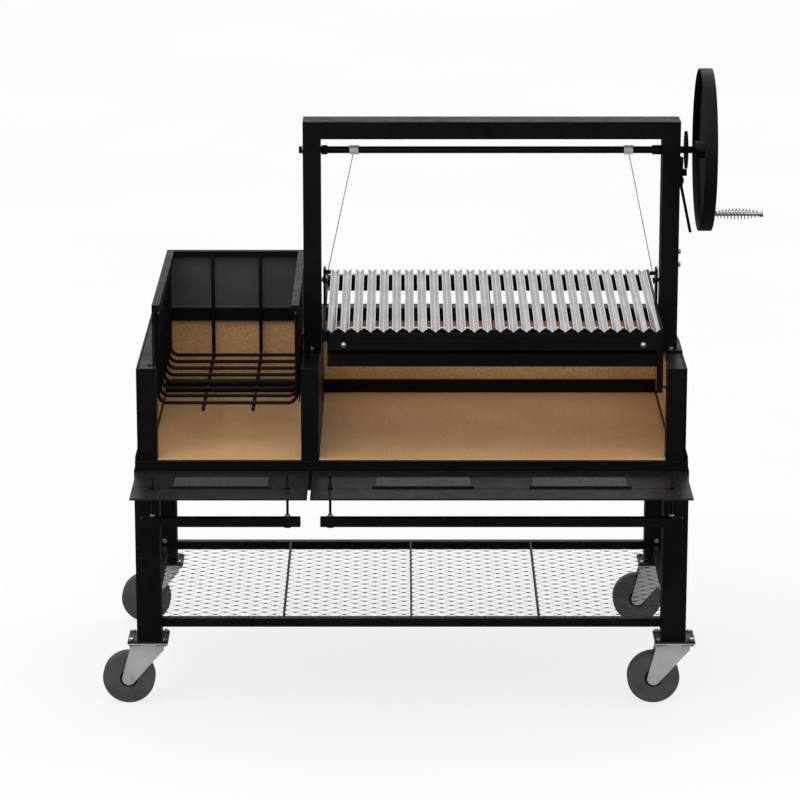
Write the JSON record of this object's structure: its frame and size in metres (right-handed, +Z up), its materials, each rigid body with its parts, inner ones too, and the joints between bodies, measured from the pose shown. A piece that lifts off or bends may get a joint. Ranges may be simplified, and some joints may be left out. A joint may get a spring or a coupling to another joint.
{
  "type": "wood fire grill",
  "caption": "Free-standing wood-fire parrilla grill on swivel casters, with a side ember basket and a V-channel grate raised and lowered by a handwheel.",
  "frame": {"origin": "on the floor, under the middle of the whole grill's outline, with the wheel's handle, the front shelves and the casters counted", "axes": "+X to the right, towards the handwheel; +Y to the back; +Z up"},
  "size_m": [1.88, 1.109, 1.8025],
  "materials": {
    "black_powder_coat": "matte black powder coat with a fine orange-peel texture",
    "shelf_coat": "satin black powder coat",
    "expanded_metal": "gray-black coated expanded steel",
    "firebrick": "dry, fine-grained tan refractory brick",
    "gray_sheet": "satin dark gray coated sheet",
    "grille_steel": "satin black ribbed steel",
    "zinc_hardware": "bright zinc plate",
    "bronze": "oiled bearing bronze",
    "wire_rope": "stranded galvanised wire rope",
    "handle_steel": "nickel-plated wire",
    "stainless": "satin stainless steel",
    "zinc_plate": "bright zinc-plated pressed steel",
    "wheel_rubber": "dark gray hard rubber"
  },
  "bodies": {
    "stand": {"back_wall_cap": "black_powder_coat", "back_wall_skin": "black_powder_coat", "base_pan": "black_powder_coat", "brasero_back_panel": "gray_sheet", "brasero_left_panel": "black_powder_coat", "brasero_right_panel": "black_powder_coat", "brick_retainers": "black_powder_coat", "caster_mount_plates": "black_powder_coat", "divider": "black_powder_coat", "floor_bricks": "firebrick", "front_left_leg": "black_powder_coat", "front_right_leg": "black_powder_coat", "left_front_shelf": "shelf_coat", "left_upright": "black_powder_coat", "left_wall_skin": "black_powder_coat", "pawl_pin": "zinc_hardware", "rear_left_leg": "black_powder_coat", "rear_right_leg": "black_powder_coat", "right_front_shelf": "shelf_coat", "right_upright": "black_powder_coat", "right_wall_skin": "black_powder_coat", "shaft_bushings": "bronze", "shelf_frame": "black_powder_coat", "shelf_grilles": "grille_steel", "shelf_mesh": "expanded_metal", "stand_fasteners": "zinc_hardware", "tool_rail_hangers": "black_powder_coat", "tool_rails": "black_powder_coat", "top_beam": "black_powder_coat", "upper_rails": "black_powder_coat", "upright_foot_plates": "black_powder_coat", "wall_bricks": "firebrick", "wall_frames": "black_powder_coat"},
    "crank": {"lift_shaft": "black_powder_coat", "shaft_collars": "black_powder_coat", "cable_windings": "wire_rope", "ratchet_gear": "black_powder_coat", "handwheel_rim": "black_powder_coat", "handwheel_web": "black_powder_coat", "handle_spindle": "handle_steel"},
    "handle": {"spring_grip": "handle_steel"},
    "pawl": {"ratchet_pawl": "black_powder_coat"},
    "carriage": {"carriage_frame": "black_powder_coat", "carriage_brackets": "black_powder_coat", "grease_trough": "black_powder_coat", "trough_bolts": "zinc_hardware", "lift_cables": "wire_rope"},
    "grate_left": {"left_grate": "stainless"},
    "grate_right": {"right_grate": "stainless"},
    "roller_left": {"left_guide_roller": "stainless"},
    "roller_right": {"right_guide_roller": "stainless"},
    "basket": {"ember_basket": "black_powder_coat"},
    "front_left_fork": {"front_left_caster_fork": "zinc_plate"},
    "front_left_wheel": {"front_left_caster_wheel": "wheel_rubber"},
    "front_right_fork": {"front_right_caster_fork": "zinc_plate"},
    "front_right_wheel": {"front_right_caster_wheel": "wheel_rubber"},
    "rear_left_fork": {"rear_left_caster_fork": "zinc_plate"},
    "rear_left_wheel": {"rear_left_caster_wheel": "wheel_rubber"},
    "rear_right_fork": {"rear_right_caster_fork": "zinc_plate"},
    "rear_right_wheel": {"rear_right_caster_wheel": "wheel_rubber"}
  },
  "joints": [
    {"name": "crank_turn", "type": "hinge", "parent": "stand", "child": "crank", "pos_m": [-0.052, -0.0045, 1.572], "axis": [1, 0, 0], "range_deg": [-680, 1260]},
    {"name": "grate_lift", "type": "slide", "parent": "stand", "child": "carriage", "axis": [0, 0, 1], "range_m": [-0.14, 0.26], "deforming": ["lift_cables"]},
    {"name": "grip_spin", "type": "hinge", "parent": "crank", "child": "handle", "pos_m": [0.8675, -0.1105, 1.408], "axis": [1, 0, 0], "continuous": true},
    {"name": "pawl_swing", "type": "hinge", "parent": "stand", "child": "pawl", "pos_m": [0.716, -0.0045, 1.483], "axis": [-1, 0, 0], "range_deg": [0, 25]},
    {"name": "left_grate_lift", "type": "slide", "parent": "carriage", "child": "grate_left", "axis": [0, 0, 1], "range_m": [0, 0.045]},
    {"name": "right_grate_lift", "type": "slide", "parent": "carriage", "child": "grate_right", "axis": [0, 0, 1], "range_m": [0, 0.045]},
    {"name": "left_roller_turn", "type": "hinge", "parent": "carriage", "child": "roller_left", "pos_m": [-0.3005, 0.0265, 1.187], "axis": [0, 1, 0], "range_deg": [-1720, 1720]},
    {"name": "right_roller_turn", "type": "hinge", "parent": "carriage", "child": "roller_right", "pos_m": [0.6495, 0.0265, 1.187], "axis": [0, 1, 0], "range_deg": [-1720, 1720]},
    {"name": "basket_lift", "type": "slide", "parent": "stand", "child": "basket", "axis": [0, 0, 1], "range_m": [0, 0.04]},
    {"name": "front_left_swivel", "type": "hinge", "parent": "stand", "child": "front_left_fork", "pos_m": [-0.807, -0.2355, 0.1755], "axis": [0, 0, 1], "continuous": true},
    {"name": "front_left_roll", "type": "hinge", "parent": "front_left_fork", "child": "front_left_wheel", "pos_m": [-0.865, -0.2355, 0.075], "axis": [0, 1, 0], "continuous": true},
    {"name": "front_right_swivel", "type": "hinge", "parent": "stand", "child": "front_right_fork", "pos_m": [0.703, -0.2355, 0.1755], "axis": [0, 0, 1], "continuous": true},
    {"name": "front_right_roll", "type": "hinge", "parent": "front_right_fork", "child": "front_right_wheel", "pos_m": [0.645, -0.2355, 0.075], "axis": [0, 1, 0], "continuous": true},
    {"name": "rear_left_swivel", "type": "hinge", "parent": "stand", "child": "rear_left_fork", "pos_m": [-0.807, 0.5025, 0.1755], "axis": [0, 0, 1], "continuous": true},
    {"name": "rear_left_roll", "type": "hinge", "parent": "rear_left_fork", "child": "rear_left_wheel", "pos_m": [-0.865, 0.5025, 0.075], "axis": [0, 1, 0], "continuous": true},
    {"name": "rear_right_swivel", "type": "hinge", "parent": "stand", "child": "rear_right_fork", "pos_m": [0.703, 0.5025, 0.1755], "axis": [0, 0, 1], "continuous": true},
    {"name": "rear_right_roll", "type": "hinge", "parent": "rear_right_fork", "child": "rear_right_wheel", "pos_m": [0.645, 0.5025, 0.075], "axis": [0, 1, 0], "continuous": true}
  ],
  "couplings": [
    {"joint": "grate_lift", "follows": "crank_turn", "m_per_rad": 0.01175},
    {"joint": "left_roller_turn", "follows": "crank_turn", "ratio": -1.3056},
    {"joint": "right_roller_turn", "follows": "crank_turn", "ratio": 1.3056}
  ]
}
